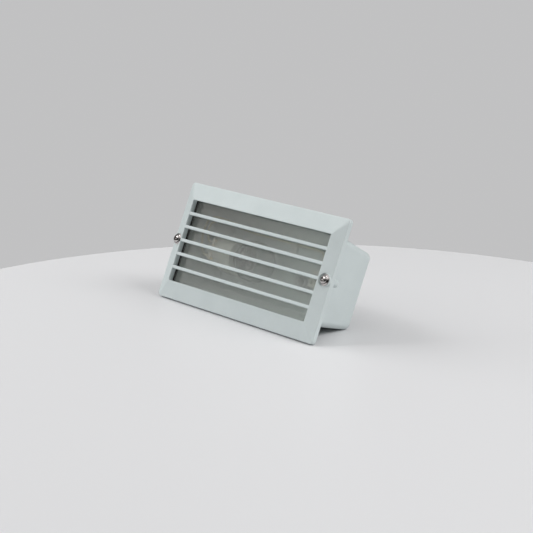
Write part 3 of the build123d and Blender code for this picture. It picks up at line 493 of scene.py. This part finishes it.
nickel = Finish("nickel_plate", (0.66, 0.63, 0.58), 0.25, 1.0)
nickel.uneven_gloss(150, 0.18, 0.34)
nickel.relief(1200, 0.000006)

e27_pitch, e27_depth, e27_rows = 0.003629, 0.0011, 14
sheet, row_margin = 0.0004, 0.0002


def rows_between(start, end):
    """Places along a rolled thread, close enough to show its round crests."""
    return np.arange(start + row_margin, end - row_margin, e27_pitch / e27_rows)


low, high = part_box("holder_shell")
lamp_axis = (0.0, (low.y + high.y) / 2, (low.z + high.z) / 2)
cap_low, cap_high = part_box("lamp_cap")
cap_radius = (cap_high.y - cap_low.y) / 2
shell_inside = cap_radius + 0.00009
shell_rows = rows_between(low.x, high.x)
shell_loop = [
    (low.x, shell_inside + sheet),
    *[(x, shell_inside + sheet) for x in shell_rows],
    (high.x, shell_inside + sheet),
    (high.x, shell_inside),
    *[(x, shell_inside) for x in shell_rows[::-1]],
    (low.x, shell_inside),
]
shell_thread = (e27_pitch, e27_depth, low.x + 0.0004, high.x - 0.0004)
shell = lathe("screw_shell", lamp_axis, (1, 0, 0), shell_loop, closed=True, thread=shell_thread)
nickel.dress(shell)
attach(shell, "back_box")
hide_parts("holder_shell")

brass = Finish("brass", (0.72, 0.52, 0.22), 0.3, 1.0)
brass.set("Base Color", brass.clouds(120, (0.76, 0.56, 0.25), (0.52, 0.36, 0.15), 4, 0.4, 0.7))
brass.uneven_gloss(260, 0.24, 0.42)
brass.dress("holder_contact", "holder_terminals", "terminal_tubes", "earth_screw")

# ---- Lamp ----
# A small clear ball lamp: a blown bulb on a flared glass stem, a coiled tungsten filament, a
# rolled nickel-plated screw cap, black glass insulation and a soldered centre contact.

bulb = Finish("lamp_glass", (0.96, 0.97, 0.96), 0.0)
bulb.set("Transmission Weight", 1.0)
bulb.set("IOR", 1.5)
bulb.relief(bulb.noise(60, 1, 0.5), 0.00004)
bulb.shadowless((0.93, 0.94, 0.93))
bulb.dress("lamp_glass", "lamp_stem")

cap_tuck, plain_collar = 0.0006, 0.0030
cap_rows = rows_between(cap_low.x, cap_high.x)
cap_loop = [
    (cap_low.x, cap_radius - sheet - cap_tuck),
    (cap_low.x, cap_radius - cap_tuck),
    *[(x, cap_radius) for x in cap_rows],
    (cap_high.x, cap_radius),
    (cap_high.x, cap_radius - sheet),
    *[(x, cap_radius - sheet) for x in cap_rows[::-1]],
]
cap_thread = (e27_pitch, e27_depth, cap_low.x + 0.0008, cap_high.x - plain_collar)
cap = lathe("screw_cap", lamp_axis, (1, 0, 0), cap_loop, closed=True, thread=cap_thread)
nickel.dress(cap)
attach(cap, "lamp")
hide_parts("lamp_cap")

black_glass = Finish("black_glass", (0.012, 0.011, 0.016), 0.08)
black_glass.relief(300, 0.00003)
black_glass.dress("lamp_insulator")

solder = Finish("solder", (0.52, 0.52, 0.51), 0.42, 1.0)
solder.uneven_gloss(500, 0.3, 0.55)
solder.relief(450, 0.00006)
solder.dress("lamp_contact")

tungsten = Finish("filament_wire", (0.20, 0.20, 0.20), 0.4, 1.0)
tungsten.uneven_gloss(3000, 0.3, 0.5, detail=2, roughness=0.5)


def wire(name, route, radius, side, columns=8):
    """Round wire along a route: at each point a circle across the way the route runs.

    The circle's first axis is the side vector, or one for each point, made square to the
    route; the second is the way crossed with the first. Both ends are drawn to a point.
    """
    way = np.gradient(route, axis=0)
    way /= np.linalg.norm(way, axis=1, keepdims=True)
    first = np.broadcast_to(side, route.shape)
    first = first - np.sum(first * way, axis=1, keepdims=True) * way
    first /= np.linalg.norm(first, axis=1, keepdims=True)
    second = np.cross(way, first)
    angle = np.linspace(0, 2 * pi, columns, endpoint=False)[None, :, None]
    ring = np.cos(angle) * first[:, None] + np.sin(angle) * second[:, None]
    rings = route[:, None] + radius * ring
    start = np.broadcast_to(route[:1, None], (1, columns, 3))
    end = np.broadcast_to(route[-1:, None], (1, columns, 3))
    points = np.concatenate([start, rings, end])
    return mesh_piece(name, points.reshape(-1, 3), grid_faces(len(points), columns))


def along_points(corners, samples):
    """Points evenly spread along straight runs between corners."""
    corners = np.array(corners)
    length = np.concatenate([[0], np.cumsum(np.linalg.norm(np.diff(corners, axis=0), axis=1))])
    places = np.linspace(0, length[-1], samples)
    return np.column_stack([np.interp(places, length, corners[:, axis]) for axis in range(3)])


wire_low, wire_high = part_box("lamp_filament")
wire_y, half_coil = (wire_low.y + wire_high.y) / 2, wire_high.z - 0.0006
coil_x, post_x = wire_high.x - 0.00055, wire_low.x
turns, turn_points, coil_radius, strand = 72, 14, 0.00028, 0.00007
post_radius, post_root, post_end = 0.0003, 0.0015, half_coil - 0.0001
hook_radius, hook_places, bend_points = 0.00014, (-0.33, 0.33), 40
depthwise = (0.0, 1.0, 0.0)

coil_share = np.linspace(0, 1, turns * turn_points)
coil_angle = 2 * pi * turns * coil_share
coil_sag = coil_radius * 0.3 * np.cos(6 * pi * coil_share)
outward = np.column_stack([np.cos(coil_angle), np.sin(coil_angle), 0 * coil_angle])
coil_height = half_coil * (2 * coil_share - 1)
coil_centre = np.column_stack([coil_x + coil_sag, wire_y + 0 * coil_share, coil_height])
filament = [wire("filament_coil", coil_centre + coil_radius * outward, strand, outward, 6)]
for end in (-1, 1):
    post = [
        (post_x, wire_y, end * post_root),
        (post_x + 0.003, wire_y, end * post_root),
        (coil_x - 0.002, wire_y, end * post_end),
        (coil_x + 0.0002, wire_y, end * post_end),
    ]
    route = along_points(post, bend_points)
    filament.append(wire(f"filament_post_{end + 2}", route, post_radius, depthwise))
for index, end in enumerate(hook_places):
    hook = [
        (post_x, wire_y, 0.0),
        (post_x + 0.002, wire_y, 0.0),
        (coil_x - 0.0004, wire_y, end * half_coil),
        (coil_x + 0.0001, wire_y, end * half_coil),
    ]
    route = along_points(hook, bend_points)
    filament.append(wire(f"filament_hook_{index}", route, hook_radius, depthwise))
for piece in filament:
    tungsten.dress(piece)
    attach(piece, "lamp")
    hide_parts("lamp_filament")

# ---- Terminal block ----
# A moulded polyamide strip of three poles, cut from a longer one, with tinned brass tubes that
# its clamp screws close on the leads.

polyamide = Finish("polyamide", (0.72, 0.70, 0.63), 0.42)
polyamide.set("Base Color", polyamide.clouds(90, (0.69, 0.67, 0.60), (0.75, 0.73, 0.67)))
polyamide.relief(1800, 0.00001, polyamide.soft_edges(0.0004))
polyamide.dress("terminal_block", "lead_clip")

# ---- Leads and earth tag ----
# Two pale yellow silicone leads with a woven glass sleeve run from the lampholder to the block
# in a slack loop; a green and yellow one joins the block to the earth screw.

tin = Finish("tinned_copper", (0.62, 0.61, 0.58), 0.34, 1.0)
tin.uneven_gloss(400, 0.28, 0.45)
tin.dress("earth_tag", "lead_ferrules")

sleeve = Finish("woven_sleeve", (0.78, 0.70, 0.44), 0.6)
weave = sleeve.noise(2200, 2, 0.5)
raised = sleeve.ramp(weave, 0.35, 0.65)
sleeve.set("Base Color", sleeve.mix(raised, (0.72, 0.63, 0.38), (0.84, 0.77, 0.52)))
sleeve.relief(weave, 0.00008)
sleeve.dress("live_lead", "neutral_lead")

green, yellow = (0.05, 0.28, 0.05), (0.78, 0.66, 0.06)
earth_sleeve = Finish("earth_sleeve", green, 0.38)
facing = earth_sleeve.node("ShaderNodeTexCoord", output="Normal")
front_or_back = earth_sleeve.toward(facing, np.array(depthwise)).math("ABSOLUTE")
stripe = earth_sleeve.ramp(front_or_back, 0.70, 0.76)
earth_sleeve.set("Base Color", earth_sleeve.mix(stripe, green, yellow))
earth_sleeve.uneven_gloss(700, 0.32, 0.46)
earth_sleeve.dress("earth_lead")

# ---- Cable gland ----
# A light grey nylon gland in the back wall: a hexagon body with its locknut inside the box, a
# rubber insert, and a domed nut that squeezes the insert round the cable.

nylon = Finish("grey_nylon", (0.42, 0.44, 0.44), 0.45)
nylon.set("Base Color", nylon.clouds(60, (0.40, 0.42, 0.42), (0.44, 0.46, 0.46)))
nylon.uneven_gloss(400, 0.38, 0.55)
nylon.relief(1500, 0.000015, nylon.soft_edges(0.0004))
nylon.dress("gland_body", "gland_locknut", "gland_nut")
